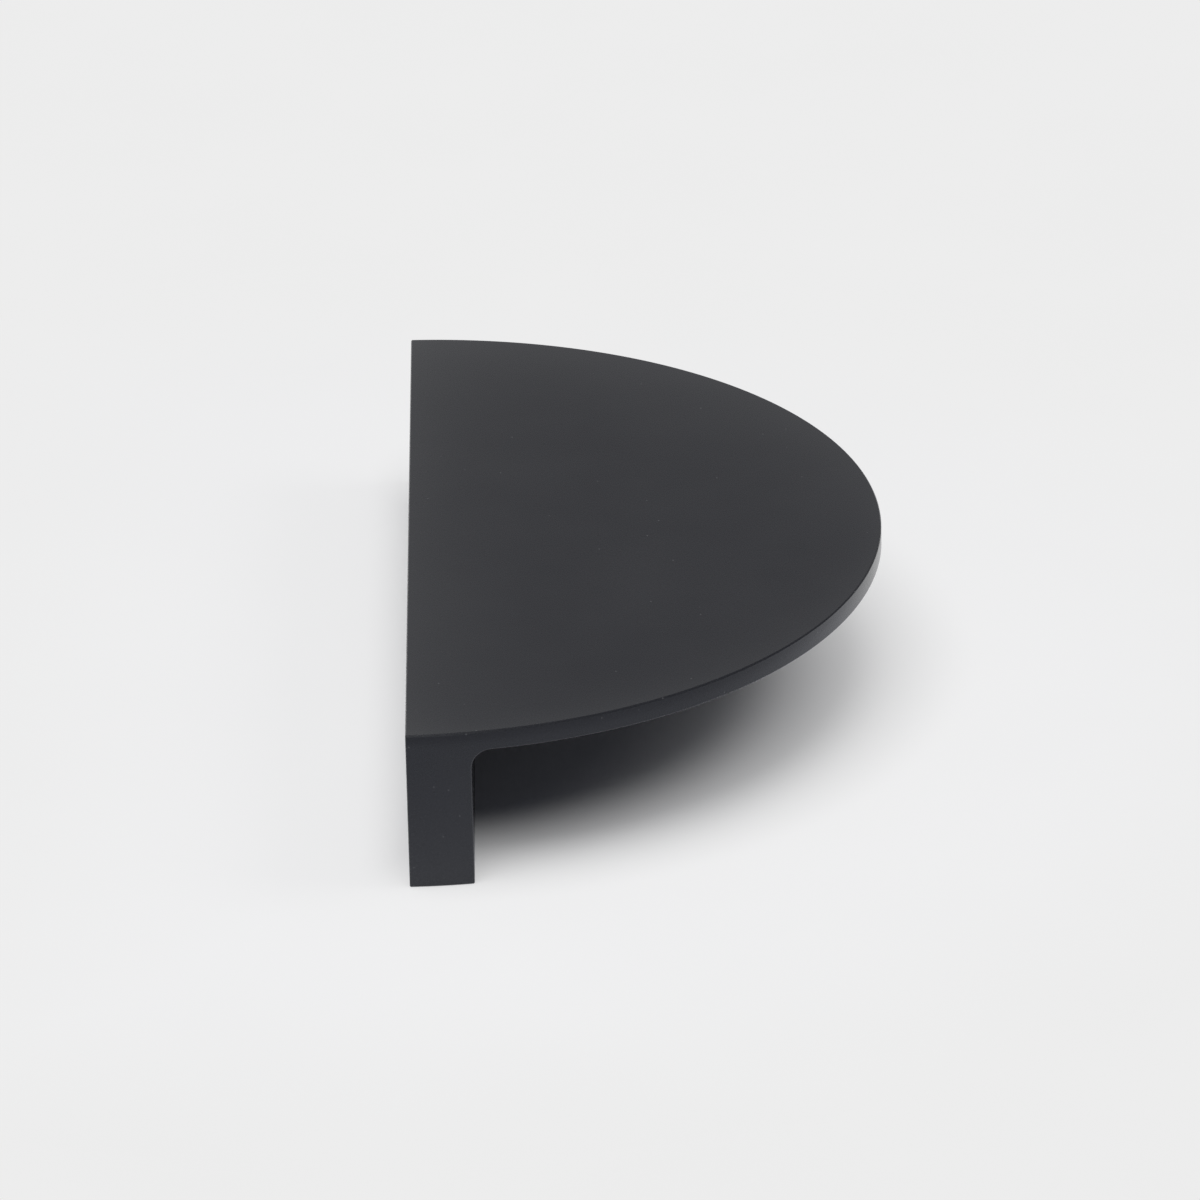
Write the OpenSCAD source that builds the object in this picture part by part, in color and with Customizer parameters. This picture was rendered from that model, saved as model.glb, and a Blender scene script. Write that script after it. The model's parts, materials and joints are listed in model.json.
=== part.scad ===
// Half-moon cabinet pull, made as one piece from an L-shaped aluminium bar.
// The leg stands on the door or drawer front, and the thin half-round plate on top of it
// lies parallel to the front, so that fingers hook under its rim. One upright cut of the
// arc's radius shapes the plate's rim and both ends of the leg.
// Origin: on the leg's base, midway between the two fixing holes. +X points from the leg
// to the tip of the arc, +Y runs along the straight edge, and +Z points out of the front.

/* [Grip plate] */
// Diameter of the half circle, which is also the length of the leg
pull_d = 140; // [120:1:220]
// Thickness of the grip plate
plate_t = 3; // [2:0.25:5]
// Height of the plate's outer face above the front it is fixed to
projection = 24; // [18:0.5:40]

/* [Leg] */
// Thickness of the leg, from its back face to its inner face
leg_t = 9.25; // [7:0.25:14]
// Radius of the fillet between the leg and the underside of the plate
fillet_r = 2.75; // [1:0.25:5]

/* [Edges] */
// Width of the small chamfer that breaks the outer edges
edge_c = 0.2; // [0.1:0.05:0.6]

/* [Fixing holes] */
// Distance between the centres of the two tapped holes in the leg's base
hole_spacing = 96; // [64:1:104]
// Tapping diameter of the holes, which suits an M4 thread
hole_d = 3.3; // [2.5:0.1:4.2]
// Depth of each hole at its full diameter
hole_depth = 12; // [6:0.5:14]
// Diameter of the countersink at the mouth of each hole
mouth_d = 4.2; // [3.5:0.1:5.5]
// Angle of the drill's point, which leaves the cone at each hole's floor
drill_angle = 118; // [90:1:140]

/* [Hidden] */
coat = [0.14, 0.14, 0.15];
arc_r = pull_d / 2;
back_x = -leg_t / 2;
inner_x = leg_t / 2;
underside_z = projection - plate_t;
fillet_x = inner_x + fillet_r;
fillet_z = underside_z - fillet_r;
// how far a cutting shape runs past the surface that it cuts
over = 1;
$fn = 96;

// The bar's cross-section, drawn with its X along the part's X and its Y along the part's Z:
// an L whose three outer corners are chamfered and whose inner corner has a fillet.
module bar_section() {
    difference() {
        polygon([
            [back_x + edge_c, 0],
            [inner_x - edge_c, 0],
            [inner_x, edge_c],
            [inner_x, fillet_z],
            [fillet_x, underside_z],
            [back_x + arc_r + over, underside_z],
            [back_x + arc_r + over, projection],
            [back_x + edge_c, projection],
            [back_x, projection - edge_c],
            [back_x, edge_c]
        ]);
        translate([fillet_x, fillet_z]) circle(fillet_r);
    }
}

// The straight bar, long enough for the arc to cut both of its ends.
module bar() {
    rotate([90, 0, 0])
        linear_extrude(pull_d + 2 * over, center = true) bar_section();
}

// The round envelope that trims the bar: a disc as tall as the pull, centred on the middle of
// the straight back edge, with a chamfer round its top and its bottom.
module arc_envelope() {
    translate([back_x, 0, 0])
        rotate_extrude()
            polygon([
                [0, 0],
                [arc_r - edge_c, 0],
                [arc_r, edge_c],
                [arc_r, projection - edge_c],
                [arc_r - edge_c, projection],
                [0, projection]
            ]);
}

// The chamfer under the plate's rim, which stops where the fillet to the leg begins.
module under_rim_chamfer() {
    reach = pull_d;
    intersection() {
        translate([back_x, 0, underside_z])
            rotate_extrude()
                polygon([
                    [arc_r - edge_c - over, -over],
                    [arc_r + over, -over],
                    [arc_r + over, edge_c + over]
                ]);
        translate([fillet_x, -reach / 2, underside_z - over]) cube([reach, reach, plate_t]);
    }
}

// The chamfer on the upright edge where the back face meets one end of the leg.
module back_corner_chamfer() {
    side = edge_c * sqrt(2);
    translate([0, 0, projection / 2])
        rotate([0, 0, 45]) cube([side, side, projection + 2 * over], center = true);
}

// The chamfer on the upright edge where the inner face meets one end of the leg. It stops
// just short of the fillet to the plate. side is 1 at the +Y end and -1 at the other.
module inner_corner_chamfer(side) {
    width = edge_c * sqrt(2);
    lean = asin(leg_t / arc_r) / 2;
    stop_z = fillet_z - 2 * edge_c;
    translate([inner_x, side * sqrt(arc_r * arc_r - leg_t * leg_t), 0])
        rotate([0, 0, side * (45 + lean)])
            translate([-width / 2, -width / 2, -over]) cube([width, width, stop_z + over]);
}

// A blind tapped hole drilled up from the base, with its countersink and the drill's cone.
module fixing_hole() {
    point_h = hole_d / 2 / tan(drill_angle / 2);
    mouth_h = (mouth_d - hole_d) / 2;
    translate([0, 0, -over]) cylinder(h = hole_depth + over, d = hole_d);
    translate([0, 0, hole_depth]) cylinder(h = point_h, d1 = hole_d, d2 = 0);
    translate([0, 0, -over]) cylinder(h = mouth_h + over, d1 = mouth_d + 2 * over, d2 = hole_d);
}

// The finished pull: the bar trimmed by the arc, with its two fixing holes.
module half_moon_pull() {
    color(coat)
        difference() {
            intersection() {
                bar();
                arc_envelope();
            }
            under_rim_chamfer();
            for (side = [-1, 1]) {
                translate([back_x, side * arc_r, 0]) back_corner_chamfer();
                inner_corner_chamfer(side);
                translate([0, side * hole_spacing / 2, 0]) fixing_hole();
            }
        }
}

half_moon_pull();
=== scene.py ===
import json

import bpy
import numpy as np
from mathutils import Matrix, Vector


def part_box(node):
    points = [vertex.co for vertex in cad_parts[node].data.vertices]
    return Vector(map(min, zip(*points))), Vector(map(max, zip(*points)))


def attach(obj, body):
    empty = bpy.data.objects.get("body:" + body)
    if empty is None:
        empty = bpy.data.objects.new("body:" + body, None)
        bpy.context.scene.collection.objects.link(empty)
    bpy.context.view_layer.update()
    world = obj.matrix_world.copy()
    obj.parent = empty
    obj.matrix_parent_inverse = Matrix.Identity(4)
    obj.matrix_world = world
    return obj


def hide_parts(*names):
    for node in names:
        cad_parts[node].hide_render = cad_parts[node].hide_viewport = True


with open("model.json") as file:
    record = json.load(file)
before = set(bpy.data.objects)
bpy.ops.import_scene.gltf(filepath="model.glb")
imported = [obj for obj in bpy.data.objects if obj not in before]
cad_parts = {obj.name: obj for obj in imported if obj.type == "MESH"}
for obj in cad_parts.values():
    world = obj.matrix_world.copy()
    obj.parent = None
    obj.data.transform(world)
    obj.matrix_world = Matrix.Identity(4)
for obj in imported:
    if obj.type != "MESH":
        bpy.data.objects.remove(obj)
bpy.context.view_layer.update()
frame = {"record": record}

# The pull's body
# One length of L-shaped aluminium bar, cut to a half circle so that the plate's rim and the
# leg's ends are one curved surface. Its edges are broken by hand and it is coated satin black.
MM = 0.001
low_corner, high_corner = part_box("half_moon_pull")
BACK_X = low_corner.x
ARC_R = high_corner.x - low_corner.x
TOP_Z = high_corner.z
LEG_T = -2 * BACK_X
PLATE_T = 3 * MM
FILLET_R = 2.75 * MM
# width of the broken edges, and of the widest stretch of the rim's upper edge, which was
# worked by hand and lies to the right of the leg as the near end is seen
EDGE_BREAK = 0.2 * MM
RIM_BREAK = 0.3 * MM
# angles along the arc, from the tip and in radians: where that stretch starts, over how far it
# widens, where it ends, and over how far it narrows before that
SWELL_START = 0.35
SWELL_RISE = 0.75
SWELL_END = 1.55
SWELL_FALL = 0.14
# share of a break's width that each of its two rounded shoulders takes
SHOULDER = 0.2
# grid steps along the arc, round the fillet, up the leg, across the leg and up the rim
PLATE_STEPS = 110
FILLET_STEPS = 10
LEG_STEPS_Z = 10
LEG_STEPS_X = 16
RIM_STEPS = 6
# grid steps along the bar, at each end and between the two square blocks that hold the holes,
# and from such a block's outline in to the hole's mouth
END_STEPS = 4
MIDDLE_STEPS = 16
MOUTH_STEPS = 4
# points that are closer together than this become one
MERGE_WITHIN = 1e-4 * MM

underside_z = TOP_Z - PLATE_T
inner_x = BACK_X + LEG_T
fillet_x = inner_x + FILLET_R
fillet_z = underside_z - FILLET_R
mount = next(m for m in frame["record"]["mounts"] if m["name"] == "fixing_holes")
HOLE_Y = mount["dims"]["spacing_y_mm"] * MM / 2
HOLE_R = mount["dims"]["hole_r_mm"] * MM
block_half = LEG_T / 2 - EDGE_BREAK
# where the section's flat faces end, a break short of its corners
back_flat_x = BACK_X + EDGE_BREAK
inner_flat_x = inner_x - EDGE_BREAK
top_flat_z = TOP_Z - EDGE_BREAK


def break_profile():
    """A broken edge, from the first face to the second, as shares of its width: a flat facet
    at 45 degrees whose two shoulders are arcs. Gives the distance in from the second face, the
    distance in from the first, and the angle that the normal has turned."""
    radius = SHOULDER / np.tan(np.pi / 8)
    turn = np.array([0, np.pi / 8, np.pi / 4])
    away = 1 - radius * np.sin(turn)
    down = radius * (1 - np.cos(turn))
    return (
        np.concatenate([away, down[::-1]]),
        np.concatenate([down, away[::-1]]),
        np.concatenate([turn, np.pi / 2 - turn[::-1]]),
    )


def rim_break_width(phi, side):
    """Width of the rim's upper break at angle phi along the arc, 0 at the tip and a quarter
    turn at the leg: the narrow break everywhere, with one raised-cosine swell on the near side."""
    rise = np.clip((phi - SWELL_START) / SWELL_RISE, 0, 1)
    fall = np.clip((SWELL_END - phi) / SWELL_FALL, 0, 1)
    swell = 0.5 - 0.5 * np.cos(np.pi * (rise * fall))
    return EDGE_BREAK + (RIM_BREAK - EDGE_BREAK) * swell * (side < 0)


def corner(vertex, first, second):
    """The break of one of the bar's long edges, as section points from the first face to the
    second. Every point sinks to the same spot where the edge reaches the rim."""
    away, down, turn = break_profile()
    vertex, first, second = (np.array(v, float) for v in (vertex, first, second))
    point = vertex - EDGE_BREAK * (away[:, None] * second + down[:, None] * first)
    normal = np.cos(turn)[:, None] * first + np.sin(turn)[:, None] * second
    target = vertex - EDGE_BREAK * (first + second)
    return point[1:-1], normal[1:-1], (target - point)[1:-1] / EDGE_BREAK


def face(start, end, steps, normal):
    """Section points along one flat face, both ends included."""
    share = np.linspace(0, 1, steps + 1)[:, None]
    point = np.array(start) * (1 - share) + np.array(end) * share
    normals = np.tile(np.array(normal, float), (steps + 1, 1))
    return point, normals, -normals


# angles along the arc at which the plate and its underside have their grid lines
reach = ARC_R - EDGE_BREAK
phi_fillet = np.arccos((fillet_x - BACK_X) / reach)
plate_phi = np.linspace(0, phi_fillet, PLATE_STEPS + 1)
plate_x = BACK_X + reach * np.cos(plate_phi)
fillet_turn = np.linspace(np.pi / 2, 0, FILLET_STEPS + 1)
fillet_normal = np.stack([np.cos(fillet_turn), -np.sin(fillet_turn)], 1)
fillet_point = np.array([fillet_x, fillet_z]) - FILLET_R * fillet_normal
down_face, up_face, back_face, inner_face = (0, -1), (0, 1), (-1, 0), (1, 0)
# places in the section of the runs that are picked out by name
FILLET_RUN, BASE_RUN, TOP_RUN = 1, 4, 9


def section():
    """The L-shaped section from the tip's underside round to the tip's top: points (x, z),
    outward normals, and the inward way that each point takes for a break of width one."""
    flat = np.ones(PLATE_STEPS)[:, None]
    underside = (
        np.stack([plate_x[:-1], np.full(PLATE_STEPS, underside_z)], 1),
        flat * np.array(down_face),
        -flat * np.array(down_face),
    )
    top_x = np.concatenate([
        np.linspace(back_flat_x, inner_flat_x, LEG_STEPS_X + 1),
        np.linspace(inner_flat_x, fillet_x, FILLET_STEPS + 1)[1:],
        plate_x[::-1][1:],
    ])
    up = np.tile(np.array(up_face, float), (len(top_x), 1))
    top = (np.stack([top_x, np.full(len(top_x), TOP_Z)], 1), up, -up)
    inner = face((inner_x, fillet_z), (inner_x, EDGE_BREAK), LEG_STEPS_Z, inner_face)
    low_back = face((BACK_X, EDGE_BREAK), (BACK_X, fillet_z), LEG_STEPS_Z, back_face)
    high_back = face((BACK_X, fillet_z), (BACK_X, top_flat_z), RIM_STEPS, back_face)
    runs = [
        underside,
        (fillet_point, fillet_normal, -fillet_normal),
        tuple(a[1:] for a in inner),
        corner((inner_x, 0), inner_face, down_face),
        face((inner_flat_x, 0), (back_flat_x, 0), LEG_STEPS_X, down_face),
        corner((BACK_X, 0), down_face, back_face),
        low_back,
        tuple(a[1:] for a in high_back),
        corner((BACK_X, TOP_Z), back_face, up_face),
        top,
    ]
    lengths = [len(r[0]) for r in runs]
    starts = np.concatenate([[0], np.cumsum(lengths)])
    return [np.concatenate(parts) for parts in zip(*runs)] + [starts]


def end_break(point, normal, inward, width, side):
    """Where the section meets one end of the bar. Row k of the result is the section moved in
    by the break's k-th step, lying on a cylinder smaller than the arc by the break's other
    distance. Gives points, normals, and each point's angle along the arc."""
    away, down, turn = break_profile()
    offset = point[:, 0] - BACK_X
    radius = ARC_R - away[:, None] * width
    x = np.where(point[:, 0] > fillet_x, offset * radius / reach, offset)
    x = x + inward[:, 0] * down[:, None] * width
    y = np.sqrt(np.maximum(radius**2 - x**2, 0))
    z = point[:, 1] + inward[:, 1] * down[:, None] * width
    outward = np.stack([x / radius, side * y / radius, np.zeros_like(x)], -1)
    flat = np.stack([normal[:, 0], np.zeros(len(normal)), normal[:, 1]], -1)
    mixed = np.cos(turn)[:, None, None] * flat + np.sin(turn)[:, None, None] * outward
    mixed /= np.linalg.norm(mixed, axis=-1, keepdims=True)
    return np.stack([BACK_X + x, side * y, z], -1), mixed, np.arctan2(y, x)


def on_arc(phi, z, side):
    """Points and normals of the upright cylinder of the arc's radius."""
    outward = np.stack([np.cos(phi), side * np.sin(phi), np.zeros_like(phi)], -1)
    centre = np.stack([np.full_like(z, BACK_X), np.zeros_like(z), z], -1)
    return centre + ARC_R * outward, outward


def between(first, last, steps):
    """A grid whose rows run evenly from the first row of values to the last."""
    share = np.linspace(0, 1, steps + 1).reshape((-1,) + (1,) * first.ndim)
    return first * (1 - share) + last * share


def grid_patch(point, normal, skip=None):
    """The triangles of a grid of points with its normals. skip marks cells to leave out."""
    rows, columns = point.shape[:2]
    corner_index = np.arange(rows * columns).reshape(rows, columns)
    cell = np.stack([
        corner_index[:-1, :-1], corner_index[1:, :-1], corner_index[1:, 1:], corner_index[:-1, 1:]
    ], -1)
    cell = cell.reshape(-1, 4) if skip is None else cell[~skip]
    triangle = np.concatenate([cell[:, [0, 1, 2]], cell[:, [0, 2, 3]]])
    return point.reshape(-1, 3), normal.reshape(-1, 3), triangle


def bore_patch(mouth, centre_y, thread):
    """One blind tapped hole, as a grid of rings that climb from the base and meet at the
    drill's point. A ring's radius is the larger of the countersink's and the thread's."""
    depth = np.concatenate([
        np.arange(0, thread["depth"], thread["pitch"] / thread["rows_a_turn"]),
        [thread["depth"], thread["depth"] + HOLE_R / np.tan(thread["drill_angle"] / 2)],
    ])
    angle = np.arctan2(mouth[:, 1] - centre_y, mouth[:, 0])
    turns = depth[:-1, None] / thread["pitch"] - angle / (2 * np.pi)
    from_root = np.abs(turns % 1 - 0.5) * 2
    groove = np.clip((1 - thread["crest_flat"] - from_root) / thread["flank"], 0, 1)
    fade = np.clip((thread["run_out"] - depth[:-1, None]) / thread["pitch"], 0, 1)
    wall = HOLE_R + (thread["root_r"] - HOLE_R) * groove * fade
    radius = np.maximum(wall, thread["mouth_r"] - depth[:-1, None])
    radius = np.concatenate([radius, np.zeros((1, len(angle)))])
    point = np.stack([
        radius * np.cos(angle),
        centre_y + radius * np.sin(angle),
        np.tile(depth[:, None], len(angle)),
    ], -1)
    along = np.gradient(point, axis=0)
    around = np.gradient(point, axis=1)
    around[:, 0] = around[:, -1] = point[:, 1] - point[:, -2]
    normal = np.cross(around, along)
    inward = np.array([0, centre_y, 0]) - point
    inward[..., 2] = 0
    normal[-1] = (0, 0, -1)
    normal[:-1] *= np.sign((normal * inward).sum(-1, keepdims=True))[:-1]
    normal /= np.maximum(np.linalg.norm(normal, axis=-1, keepdims=True), 1e-12)
    return point, normal


# M4 thread, tapped from the base: crests at the drill's radius and roots at 2 mm. A crest is
# flat over a quarter of the pitch, and its two flanks take up five eighths. The last turn fades
# out by the depth run_out, and the hole keeps the drill's radius from there down to its depth.
THREAD = {
    "pitch": 0.7 * MM,
    "root_r": 2.0 * MM,
    "crest_flat": 0.25,
    "flank": 0.625,
    "run_out": 10.5 * MM,
    "depth": 12 * MM,
    "mouth_r": 2.1 * MM,
    "drill_angle": np.radians(118),
    "rows_a_turn": 14,
}

point, normal, inward, starts = section()
base_run = slice(starts[BASE_RUN], starts[BASE_RUN + 1])
top_run = slice(starts[TOP_RUN], starts[TOP_RUN + 1])
block = block_half / reach
hole_v = HOLE_Y / reach
along_bar = np.concatenate([
    np.linspace(-1, -hole_v - block, END_STEPS + 1)[:-1],
    np.linspace(-hole_v - block, -hole_v + block, LEG_STEPS_X + 1)[:-1],
    np.linspace(-hole_v + block, hole_v - block, MIDDLE_STEPS + 1)[:-1],
    np.linspace(hole_v - block, hole_v + block, LEG_STEPS_X + 1)[:-1],
    np.linspace(hole_v + block, 1, END_STEPS + 1),
])
patches = []
ends = {}
for side in (-1, 1):
    width = np.full(len(point), EDGE_BREAK)
    top_phi = np.arccos((point[top_run, 0] - BACK_X) / reach)
    width[top_run] = rim_break_width(top_phi, side)
    ends[side] = end_break(point, normal, inward, width, side)
    patches.append(grid_patch(*ends[side][:2]))
near, far = ends[-1][0][0], ends[1][0][0]
share = (1 + along_bar[None, :, None]) / 2
lateral = near[:, None] * (1 - share) + far[:, None] * share
flat = np.stack([normal[:, 0], np.zeros(len(normal)), normal[:, 1]], -1)
lateral_normal = np.repeat(flat[:, None], len(along_bar), 1)
open_cells = np.zeros((len(point) - 1, len(along_bar) - 1), bool)
block_starts = [END_STEPS, END_STEPS + LEG_STEPS_X + MIDDLE_STEPS]
for first in block_starts:
    open_cells[base_run.start:base_run.stop - 1, first:first + LEG_STEPS_X] = True
patches.append(grid_patch(lateral, lateral_normal, open_cells))

for side in (-1, 1):
    phi, z = ends[side][2][-1], ends[side][0][-1][:, 2]
    tip_to_leg = slice(0, starts[FILLET_RUN] + FILLET_STEPS + 1)
    leg_columns = phi[base_run]
    low = (
        np.concatenate([phi[tip_to_leg], leg_columns[1:]]),
        np.concatenate([z[tip_to_leg], np.full(LEG_STEPS_X, fillet_z)]),
    )
    high = phi[top_run][::-1], z[top_run][::-1]
    patches.append(grid_patch(*on_arc(
        between(low[0], high[0], RIM_STEPS), between(low[1], high[1], RIM_STEPS), side
    )))
    foot_phi = between(leg_columns, leg_columns, LEG_STEPS_Z)
    across = np.ones(LEG_STEPS_X + 1)
    foot_z = between(EDGE_BREAK * across, fillet_z * across, LEG_STEPS_Z)
    patches.append(grid_patch(*on_arc(foot_phi, foot_z, side)))

body_triangles = sum(len(p[2]) for p in patches)
for first, centre_y in zip(block_starts, (-HOLE_Y, HOLE_Y)):
    base = lateral[base_run, first:first + LEG_STEPS_X + 1]
    loop = np.concatenate([base[:-1, 0], base[-1, :-1], base[:0:-1, -1], base[0, ::-1]])
    angle = np.arctan2(loop[:, 1] - centre_y, loop[:, 0])
    mouth = np.stack([
        THREAD["mouth_r"] * np.cos(angle), centre_y + THREAD["mouth_r"] * np.sin(angle), 0 * angle
    ], -1)
    ring = between(loop, mouth, MOUTH_STEPS)
    patches.append(grid_patch(ring, np.broadcast_to(np.array([0.0, 0, -1]), ring.shape)))
    body_triangles += len(patches[-1][2])
for centre_y, patch in zip((-HOLE_Y, HOLE_Y), patches[-2:]):
    mouth = patch[0].reshape(MOUTH_STEPS + 1, -1, 3)[-1]
    patches.append(grid_patch(*bore_patch(mouth, centre_y, THREAD)))


def weld(patches):
    """One closed mesh from the patches: points that fall together are merged, triangles left
    without area by that are dropped, and each triangle is turned to face its normals. Gives the
    points, the triangles, the normals at their corners, and which of the triangles were kept."""
    offset = np.cumsum([0] + [len(p[0]) for p in patches[:-1]])
    points = np.concatenate([p[0] for p in patches])
    normals = np.concatenate([p[1] for p in patches])
    triangles = np.concatenate([p[2] + o for p, o in zip(patches, offset)])
    key = np.round(points / MERGE_WITHIN).astype(np.int64)
    _, kept, merged = np.unique(key, axis=0, return_index=True, return_inverse=True)
    merged = merged.ravel()
    corners = merged[triangles]
    whole = (corners[:, 0] != corners[:, 1]) & (corners[:, 1] != corners[:, 2])
    whole &= corners[:, 2] != corners[:, 0]
    triangles, corners = triangles[whole], corners[whole]
    edges = points[kept][corners]
    facing = np.cross(edges[:, 1] - edges[:, 0], edges[:, 2] - edges[:, 0])
    wrong = (facing * normals[triangles].sum(1)).sum(1) < 0
    triangles[wrong] = triangles[wrong][:, ::-1]
    corners[wrong] = corners[wrong][:, ::-1]
    return points[kept], corners, normals[triangles], whole


body_points, body_corners, body_normals, whole = weld(patches)
threaded = (np.arange(len(whole)) >= body_triangles)[whole]
mesh = bpy.data.meshes.new("pull_body")
mesh.vertices.add(len(body_points))
mesh.vertices.foreach_set("co", body_points.ravel())
mesh.loops.add(body_corners.size)
mesh.loops.foreach_set("vertex_index", body_corners.ravel())
mesh.polygons.add(len(body_corners))
mesh.polygons.foreach_set("loop_start", np.arange(0, body_corners.size, 3))
mesh.polygons.foreach_set("material_index", threaded.astype(np.int32))
mesh.update(calc_edges=True)
mesh.validate()
mesh.normals_split_custom_set(body_normals.reshape(-1, 3))
pull_body = bpy.data.objects.new("pull_body", mesh)
bpy.context.scene.collection.objects.link(pull_body)


def add_node(tree, kind, inputs=None, **settings):
    """A new shader node with its settings. Each input is a value or a socket that feeds it."""
    node = tree.nodes.new("ShaderNode" + kind)
    for name, value in settings.items():
        setattr(node, name, value)
    for key, value in (inputs or {}).items():
        if isinstance(value, bpy.types.NodeSocket):
            tree.links.new(value, node.inputs[key])
        else:
            node.inputs[key].default_value = value
    return node


def math_node(tree, operation, *values, clamp=False):
    """The result of one Math node, fed by numbers or sockets."""
    node = add_node(tree, "Math", dict(enumerate(values)), operation=operation, use_clamp=clamp)
    return node.outputs[0]


def mix_colour(tree, factor, first, second):
    """The first colour where factor is 0, and the second where it is 1."""
    return add_node(tree, "Mix", {0: factor, 6: first, 7: second}, data_type="RGBA").outputs[2]


def mix_value(tree, factor, first, second):
    """The first value where factor is 0, and the second where it is 1."""
    return add_node(tree, "Mix", {0: factor, 2: first, 3: second}, data_type="FLOAT").outputs[0]


def smooth_range(tree, value, span, low, high):
    """A smooth step, from low where value is at the start of span to high at its end."""
    node = add_node(tree, "MapRange", {
        "Value": value, "From Min": span[0], "From Max": span[1], "To Min": low, "To Max": high,
    }, interpolation_type="SMOOTHSTEP")
    return node.outputs["Result"]


def new_group(name, inputs, outputs):
    """A node group with the named inputs and outputs, each a name with its socket type."""
    group = bpy.data.node_groups.new(name, "ShaderNodeTree")
    for in_out, sockets in (("INPUT", inputs), ("OUTPUT", outputs)):
        for socket, kind in sockets:
            group.interface.new_socket(socket, in_out=in_out, socket_type="NodeSocket" + kind)
    start = group.nodes.new("NodeGroupInput")
    end = group.nodes.new("NodeGroupOutput")
    return group, start, end


def group_node(tree, group, inputs):
    """The one output of a node group that is placed in a material with its own values."""
    return add_node(tree, "Group", inputs, node_tree=group).outputs[0]


# an even grain: noise of so many cells a millimetre, spread from Low to High
grain, start, end = new_group(
    "grain",
    [
        ("Position", "Vector"), ("Cells", "Float"), ("Detail", "Float"),
        ("Low", "Float"), ("High", "Float"),
    ],
    [("Value", "Float")],
)
noise = add_node(grain, "TexNoise", {
    "Vector": start.outputs["Position"], "Scale": start.outputs["Cells"],
    "Detail": start.outputs["Detail"], "Roughness": 0.55,
})
spread = add_node(grain, "MapRange", {
    "Value": noise.outputs["Fac"], "From Min": 0.3, "From Max": 0.7,
    "To Min": start.outputs["Low"], "To Max": start.outputs["High"],
})
grain.links.new(spread.outputs["Result"], end.inputs["Value"])

# scattered specks: a few cells of a Voronoi pattern hold one small round grain of dust
specks, start, end = new_group(
    "specks",
    [("Position", "Vector"), ("Spacing", "Float"), ("Size", "Float"), ("Share", "Float")],
    [("Mask", "Float")],
)
scale = math_node(specks, "DIVIDE", 1.0, start.outputs["Spacing"])
cells = add_node(specks, "TexVoronoi", {"Vector": start.outputs["Position"], "Scale": scale})
distance = math_node(specks, "MULTIPLY", cells.outputs["Distance"], start.outputs["Spacing"])
near_centre = math_node(specks, "LESS_THAN", distance, start.outputs["Size"])
pick = add_node(specks, "SeparateColor", {"Color": cells.outputs["Color"]})
chosen = math_node(specks, "LESS_THAN", pick.outputs["Red"], start.outputs["Share"])
mask = math_node(specks, "MULTIPLY", near_centre, chosen)
specks.links.new(mask, end.inputs["Mask"])


def surface_material(name):
    """A material with an empty Principled shader. Gives its tree, its shader and the object
    position in millimetres."""
    material = bpy.data.materials.new(name)
    material.use_nodes = True
    tree = material.node_tree
    tree.nodes.clear()
    shader = add_node(tree, "BsdfPrincipled")
    add_node(tree, "OutputMaterial", {"Surface": shader.outputs["BSDF"]})
    place = add_node(tree, "TexCoord").outputs["Object"]
    position = add_node(tree, "VectorMath", {0: place, "Scale": 1 / MM}, operation="SCALE")
    return material, tree, shader, position.outputs["Vector"]


def from_arc_centre(tree, position):
    """The parts of a position, how far it lies in front of the back face, and how far from the
    arc's centre as seen from above, all in millimetres."""
    axes = add_node(tree, "SeparateXYZ", {"Vector": position}).outputs
    ahead = math_node(tree, "SUBTRACT", axes["X"], BACK_X / MM)
    squares = [math_node(tree, "POWER", part, 2.0) for part in (ahead, axes["Y"])]
    return axes, ahead, math_node(tree, "SQRT", math_node(tree, "ADD", *squares))


def painted_sheen_from(tree, distance, strength, reach):
    """Painted sheen at some distance from its edge: strength * exp(-distance / reach)."""
    fall = math_node(tree, "EXPONENT", math_node(tree, "DIVIDE", distance, -reach))
    return math_node(tree, "MULTIPLY", fall, strength)


# satin black coat: thin and even, with a faint cloudiness, a fine texture and stray dust, and
# a painted sheen, a lighter colour that stands for mirrored light, along the straight edge,
# along the plate's rim and at the leg's foot
COAT_DARK = (0.0075, 0.0080, 0.0120, 1)
COAT_LIGHT = (0.0110, 0.0115, 0.0155, 1)
COAT_IOR = 1.45
COAT_TINT = (0.91, 0.94, 1.0, 1)
# colour of the painted sheen, which stands for light that the coat mirrors
PAINTED_SHEEN = (0.045, 0.046, 0.049, 1)
DUST = (0.074, 0.075, 0.079, 1)
# strength of each painted sheen, and its reach in millimetres
BACK_SHEEN = (0.45, 9.0)
FAR_RIM_SHEEN = (0.5, 14.0)
NEAR_RIM_SHEEN = (0.3, 5.0)
FOOT_SHEEN = (0.5, 9.0)
# Y in millimetres over which the near rim's painted sheen gives way to the far rim's
RIM_SHEEN_SPAN = (-20.0, 60.0)
# the coat's gloss, and that of the rim and the leg's ends, which mirror less just below their
# upper edge: from where to where it changes, in millimetres below the edge, and how
GLOSS = 0.5
RIM_GLOSS_SPAN = (0.3, 2.4)
RIM_GLOSS = (0.39, 0.535)
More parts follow.
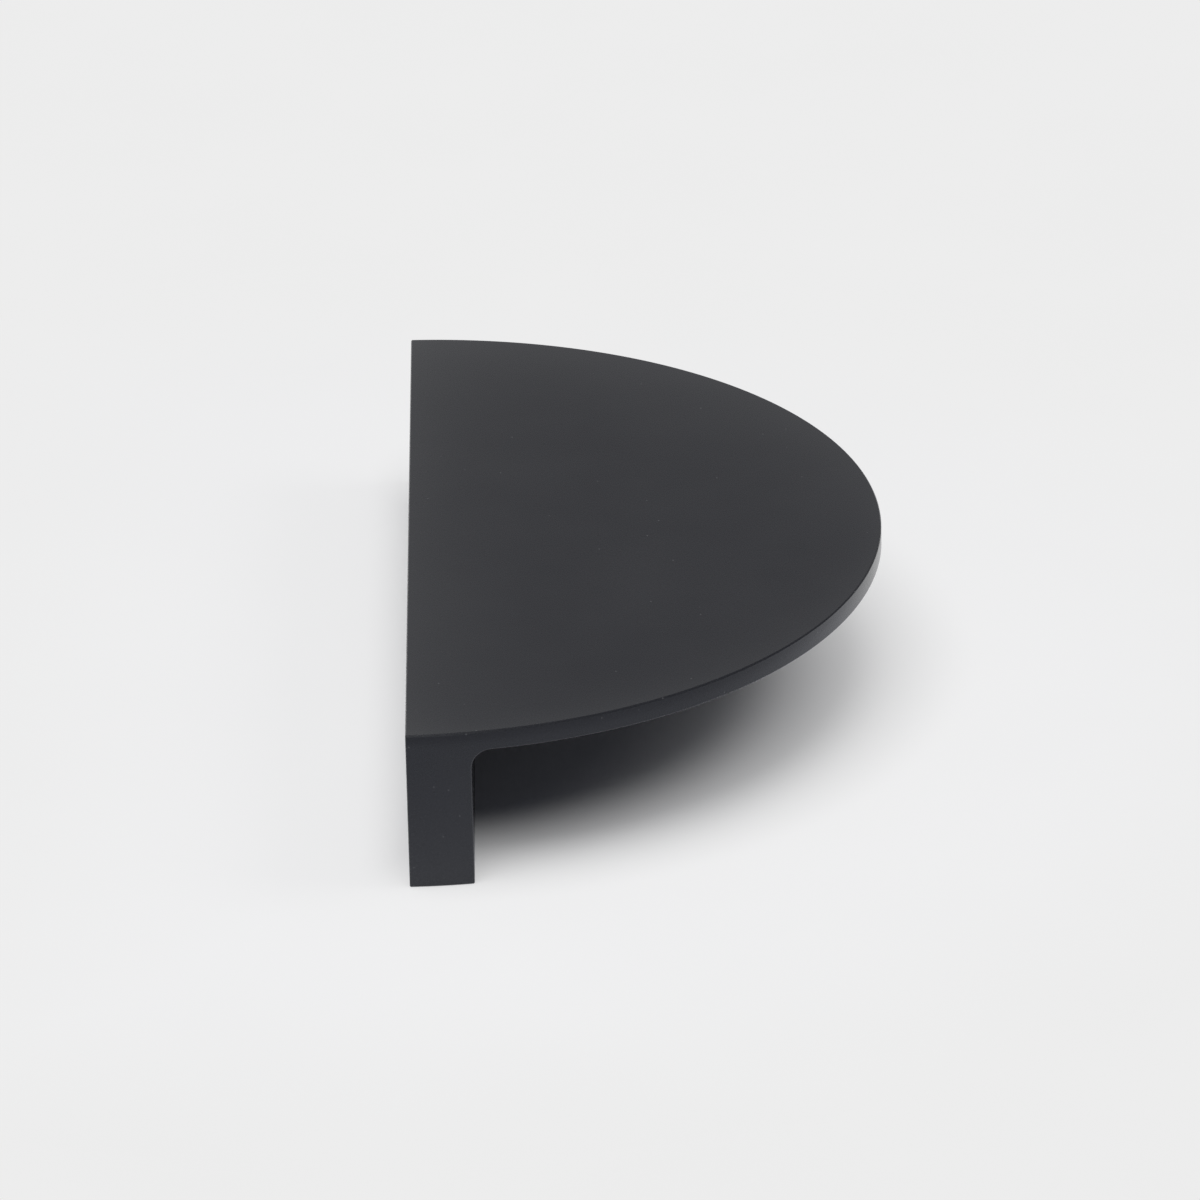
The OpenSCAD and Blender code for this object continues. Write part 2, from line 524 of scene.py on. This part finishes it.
# share of the cells that hold a speck of dust, and the same on the rim and the leg's ends
DUST_SHARE = 0.12
RIM_DUST_SHARE = 0.9
coat, tree, shader, position = surface_material("satin_black_coat")
shader.inputs["IOR"].default_value = COAT_IOR
shader.inputs["Specular Tint"].default_value = COAT_TINT
cloud = group_node(tree, grain, {
    "Position": position, "Cells": 0.06, "Detail": 2.0, "Low": 0.0, "High": 1.0,
})
tone = mix_colour(tree, cloud, COAT_DARK, COAT_LIGHT)
axes, ahead, from_centre = from_arc_centre(tree, position)
from_rim = math_node(tree, "SUBTRACT", ARC_R / MM, from_centre)
far_share = smooth_range(tree, axes["Y"], RIM_SHEEN_SPAN, 0.0, 1.0)
near_share = math_node(tree, "SUBTRACT", 1.0, far_share)
far_sheen = math_node(tree, "MULTIPLY", painted_sheen_from(tree, from_rim, *FAR_RIM_SHEEN), far_share)
near_sheen = math_node(tree, "MULTIPLY", painted_sheen_from(tree, from_rim, *NEAR_RIM_SHEEN), near_share)
sheen_mask = math_node(tree, "ADD", painted_sheen_from(tree, ahead, *BACK_SHEEN), far_sheen)
sheen_mask = math_node(tree, "ADD", sheen_mask, near_sheen)
on_top = math_node(tree, "GREATER_THAN", axes["Z"], (TOP_Z - RIM_BREAK) / MM)
sheen_mask = math_node(tree, "MULTIPLY", sheen_mask, on_top, clamp=True)
# painted reflection of the bright floor: the coat is lighter towards the leg's foot
sheen_mask = math_node(tree, "MAXIMUM", sheen_mask, painted_sheen_from(tree, axes["Z"], *FOOT_SHEEN))
# the painted sheen laid into the coat's colour
sheened = mix_colour(tree, sheen_mask, tone, PAINTED_SHEEN)
on_rim = math_node(tree, "GREATER_THAN", from_centre, (ARC_R - RIM_BREAK) / MM)
dust = group_node(tree, specks, {
    "Position": position, "Spacing": 1.8, "Size": 0.12,
    "Share": mix_value(tree, on_rim, DUST_SHARE, RIM_DUST_SHARE),
})
tree.links.new(mix_colour(tree, dust, sheened, DUST), shader.inputs["Base Color"])
below_top = math_node(tree, "SUBTRACT", TOP_Z / MM, axes["Z"])
rim_gloss = smooth_range(tree, below_top, RIM_GLOSS_SPAN, *RIM_GLOSS)
tree.links.new(mix_value(tree, on_rim, GLOSS, rim_gloss), shader.inputs["Specular IOR Level"])
sheen_spread = group_node(tree, grain, {
    "Position": position, "Cells": 1.5, "Detail": 3.0, "Low": 0.25, "High": 0.29,
})
tree.links.new(sheen_spread, shader.inputs["Roughness"])
texture = group_node(tree, grain, {
    "Position": position, "Cells": 4.0, "Detail": 2.0, "Low": 0.0, "High": 1.0,
})
bump = add_node(tree, "Bump", {"Height": texture, "Strength": 0.08, "Distance": 0.02 * MM})
tree.links.new(bump.outputs["Normal"], shader.inputs["Normal"])

# bare aluminium where the holes were tapped after coating, with the tap's fine rings
TAPPED = (0.58, 0.585, 0.60, 1)
TAPPED_DARK = (0.40, 0.405, 0.42, 1)
# how much the grain is squeezed along X, Y and Z, so that it lies in rings round the holes
RING_SQUEEZE = (0.4, 0.4, 14.0)
metal, tree, shader, position = surface_material("tapped_aluminium")
shader.inputs["Metallic"].default_value = 1.0
rings = add_node(tree, "Mapping", {"Vector": position, "Scale": RING_SQUEEZE}).outputs["Vector"]
cut_marks = group_node(tree, grain, {
    "Position": rings, "Cells": 1.0, "Detail": 2.0, "Low": 0.0, "High": 1.0,
})
tree.links.new(mix_colour(tree, cut_marks, TAPPED_DARK, TAPPED), shader.inputs["Base Color"])
metal_spread = group_node(tree, grain, {
    "Position": rings, "Cells": 2.0, "Detail": 2.0, "Low": 0.28, "High": 0.42,
})
tree.links.new(metal_spread, shader.inputs["Roughness"])
bump = add_node(tree, "Bump", {"Height": cut_marks, "Strength": 0.15, "Distance": 0.02 * MM})
tree.links.new(bump.outputs["Normal"], shader.inputs["Normal"])

pull_body.data.materials.append(coat)
pull_body.data.materials.append(metal)
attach(pull_body, "root")
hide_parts("half_moon_pull")

# The floor
# A sheet of pale studio paper that the pull stands on. It isn't part of the object. Beside the
# pull a painted glow lifts the shade nearly to the white of elsewhere, for the camera and in
# reflections, and it keeps the shadow under the plate.
# FLOOR_HALF is half its side in metres.
FLOOR_HALF = 3.0
PAPER = (0.85, 0.85, 0.85, 1)
PAPER_SPECK = (0.45, 0.45, 0.45, 1)
PAPER_ROUGHNESS = 0.9
PAPER_GLOW = 0.845
# share of painted glow, which lifts the shade, that shows right beside the pull, and the
# distances in millimetres over which it grows to that: out from the rim, and back from the back
# face
GLOW_NEAR = 0.62
CLEAR_RIM_SPAN = (-24.0, 4.0)
CLEAR_BACK_SPAN = (-10.0, 13.0)
# distance from the pull in millimetres over which the painted glow becomes the paper's full white
AWAY_SPAN = (18.0, 84.0)
# how bright the paper's painted glow is where the coat mirrors it, a painted reflection that is
# brighter behind the pull than on the camera's side, and the Y in millimetres over which that
# changes
MIRRORED = (0.90, 1.45)
MIRRORED_SPAN = (-90.0, 40.0)
# the painted cool cast of the glow that the coat mirrors on the camera's side, and the Y over
# which it goes
MIRRORED_TINT = (0.985, 0.995, 1.05, 1)
TINT_SPAN = (-10.0, 25.0)
WHITE = (1, 1, 1, 1)
floor_mesh = bpy.data.meshes.new("floor")
corners = FLOOR_HALF * np.array([(-1, -1, 0), (1, -1, 0), (1, 1, 0), (-1, 1, 0)])
floor_mesh.from_pydata(corners.tolist(), [], [(0, 1, 2, 3)])
floor = bpy.data.objects.new("floor", floor_mesh)
bpy.context.scene.collection.objects.link(floor)
paper, tree, shader, position = surface_material("pale_paper")
shader.inputs["Roughness"].default_value = PAPER_ROUGHNESS
fibre = group_node(tree, grain, {
    "Position": position, "Cells": 0.02, "Detail": 3.0, "Low": 0.995, "High": 1.004,
})
paper_tone = add_node(tree, "VectorMath", {0: PAPER[:3], "Scale": fibre}, operation="SCALE")
grit = group_node(tree, specks, {
    "Position": position, "Spacing": 40.0, "Size": 0.2, "Share": 0.4,
})
paper_colour = mix_colour(tree, grit, paper_tone.outputs["Vector"], PAPER_SPECK)
tree.links.new(paper_colour, shader.inputs["Base Color"])
axes, ahead, from_centre = from_arc_centre(tree, position)
past_rim = math_node(tree, "SUBTRACT", from_centre, ARC_R / MM)
past_back = math_node(tree, "MULTIPLY", ahead, -1.0)
clear_rim = smooth_range(tree, past_rim, CLEAR_RIM_SPAN, 0.0, GLOW_NEAR)
clear_back = smooth_range(tree, past_back, CLEAR_BACK_SPAN, 0.0, GLOW_NEAR)
clear = math_node(tree, "MAXIMUM", clear_rim, clear_back)
past_pull = math_node(tree, "MAXIMUM", past_rim, past_back)
away = smooth_range(tree, past_pull, AWAY_SPAN, 0.0, 1 - GLOW_NEAR)
painted_glow_share = math_node(tree, "ADD", clear, away)
light_path = add_node(tree, "LightPath").outputs
in_mirror = light_path["Is Glossy Ray"]
seen = math_node(tree, "ADD", light_path["Is Camera Ray"], in_mirror, clamp=True)
in_mirror_light = smooth_range(tree, axes["Y"], MIRRORED_SPAN, *MIRRORED)
brightness = mix_value(tree, in_mirror, 1.0, in_mirror_light)
strength = math_node(tree, "MULTIPLY", brightness, PAPER_GLOW / PAPER[0])
camera_side = smooth_range(tree, axes["Y"], TINT_SPAN, 1.0, 0.0)
cast = mix_colour(tree, math_node(tree, "MULTIPLY", camera_side, in_mirror), WHITE, MIRRORED_TINT)
glow_colour = add_node(tree, "VectorMath", {0: paper_colour, 1: cast}, operation="MULTIPLY")
# painted glow: the paper's emission, seen by the camera and in reflections, which lifts the shade
# beside the pull
glow = add_node(tree, "Emission", {"Color": glow_colour.outputs["Vector"], "Strength": strength})
mixed = add_node(tree, "MixShader", {
    0: math_node(tree, "MULTIPLY", painted_glow_share, seen),
    1: shader.outputs["BSDF"],
    2: glow.outputs["Emission"],
})
output = next(n for n in tree.nodes if n.type == "OUTPUT_MATERIAL")
tree.links.new(mixed.outputs["Shader"], output.inputs["Surface"])
floor_mesh.materials.append(paper)

# The camera
# It looks along the leg from its near end, from 25 degrees above the floor, with a long lens.
# Distances are in arc radii from the middle of the straight edge of the plate's top.
CAMERA_AZIMUTH = np.radians(0.21)
CAMERA_ELEVATION = np.radians(25.17)
CAMERA_ROLL = np.radians(-1.24)
CAMERA_DISTANCE = 19.03
CAMERA_RIGHT = 0.4056
CAMERA_UP = -0.1517
LENS_MM = 270
SENSOR_MM = 36
forward = np.array([
    np.sin(CAMERA_AZIMUTH) * np.cos(CAMERA_ELEVATION),
    np.cos(CAMERA_AZIMUTH) * np.cos(CAMERA_ELEVATION),
    -np.sin(CAMERA_ELEVATION),
])
level = np.array([np.cos(CAMERA_AZIMUTH), -np.sin(CAMERA_AZIMUTH), 0])
upright = np.cross(level, forward)
right = np.cos(CAMERA_ROLL) * level + np.sin(CAMERA_ROLL) * upright
up = -np.sin(CAMERA_ROLL) * level + np.cos(CAMERA_ROLL) * upright
target = np.array([BACK_X, 0, TOP_Z])
place = target + ARC_R * (-CAMERA_DISTANCE * forward + CAMERA_RIGHT * right + CAMERA_UP * up)
camera_data = bpy.data.cameras.new("camera")
camera_data.lens = LENS_MM
camera_data.sensor_width = SENSOR_MM
camera_data.clip_start = 0.05
camera_data.clip_end = 20
camera = bpy.data.objects.new("camera", camera_data)
matrix = np.eye(4)
matrix[:3, 0], matrix[:3, 1], matrix[:3, 2], matrix[:3, 3] = right, up, -forward, place
camera.matrix_world = Matrix(matrix.tolist())
bpy.context.scene.collection.objects.link(camera)
bpy.context.scene.camera = camera

# The light
# A broad soft lamp overhead, leaning to the camera's side, and a weaker one to the right. The
# room is pale low down behind the pull and dark above, which is what the satin coat mirrors.
# Angles are in degrees, the azimuth from +X towards +Y, and half_angle is half of what a lamp
# spans as seen from the pull. LAMP_DISTANCE is in metres.
LAMPS = {
    "overhead": {"azimuth": 243, "elevation": 77.5, "half_angle": 22.5, "radiance": 6.15},
    "side": {"azimuth": 0, "elevation": 42, "half_angle": 14, "radiance": 2.55},
}
LAMP_DISTANCE = 1.5
ROOM_FILL = 0.093
ROOM_TINT = (0.93, 0.97, 1.20, 1)
# the room that the coat mirrors: the light of its low walls, the share of it that is left on
# the camera's side and to the right, and the light of the rest
WALL_LIGHT = 0.45
CAMERA_SIDE_SHARE = 0.05
RIGHT_SHARE = 0.4
DARK_ROOM = 0.04
# how far a direction points up, to the back and to the right where each of those changes
UP_SPAN = (0.0, 1.0)
BACK_SPAN = (-0.4, 0.7)
RIGHT_SPAN = (0.15, 0.6)
for name, lamp_values in LAMPS.items():
    azimuth, elevation, half_angle = np.radians([
        lamp_values["azimuth"], lamp_values["elevation"], lamp_values["half_angle"]
    ])
    from_pull = Vector((
        np.cos(elevation) * np.cos(azimuth), np.cos(elevation) * np.sin(azimuth), np.sin(elevation)
    ))
    radius = LAMP_DISTANCE * np.tan(half_angle)
    lamp_data = bpy.data.lights.new(name, "AREA")
    lamp_data.shape = "DISK"
    lamp_data.size = 2 * radius
    # the power grows with the lamp's area, so the light doesn't depend on the distance
    lamp_data.energy = lamp_values["radiance"] * (np.pi * radius) ** 2
    lamp = bpy.data.objects.new(name, lamp_data)
    turn = from_pull.to_track_quat("Z", "Y").to_matrix().to_4x4()
    lamp.matrix_world = Matrix.Translation(LAMP_DISTANCE * from_pull) @ turn
    lamp.visible_glossy = False
    lamp.visible_camera = False
    bpy.context.scene.collection.objects.link(lamp)
world = bpy.data.worlds.new("room")
world.use_nodes = True
tree = world.node_tree
background = tree.nodes["Background"]
direction = add_node(tree, "TexCoord").outputs["Generated"]
axes = add_node(tree, "SeparateXYZ", {"Vector": direction}).outputs
low_wall = smooth_range(tree, axes["Z"], UP_SPAN, WALL_LIGHT, 0.0)
behind = smooth_range(tree, axes["Y"], BACK_SPAN, CAMERA_SIDE_SHARE, 1.0)
rightward = smooth_range(tree, axes["X"], RIGHT_SPAN, 1.0, RIGHT_SHARE)
walls = math_node(tree, "MULTIPLY", math_node(tree, "MULTIPLY", low_wall, behind), rightward)
mirrored = math_node(tree, "ADD", walls, DARK_ROOM)
light_path = add_node(tree, "LightPath").outputs
strength = mix_value(tree, light_path["Is Diffuse Ray"], mirrored, ROOM_FILL)
tint = mix_colour(tree, light_path["Is Diffuse Ray"], WHITE, ROOM_TINT)
seen = mix_value(tree, light_path["Is Camera Ray"], strength, PAPER_GLOW)
tree.links.new(seen, background.inputs["Strength"])
tree.links.new(tint, background.inputs["Color"])
bpy.context.scene.world = world
bpy.context.scene.view_settings.view_transform = "Standard"
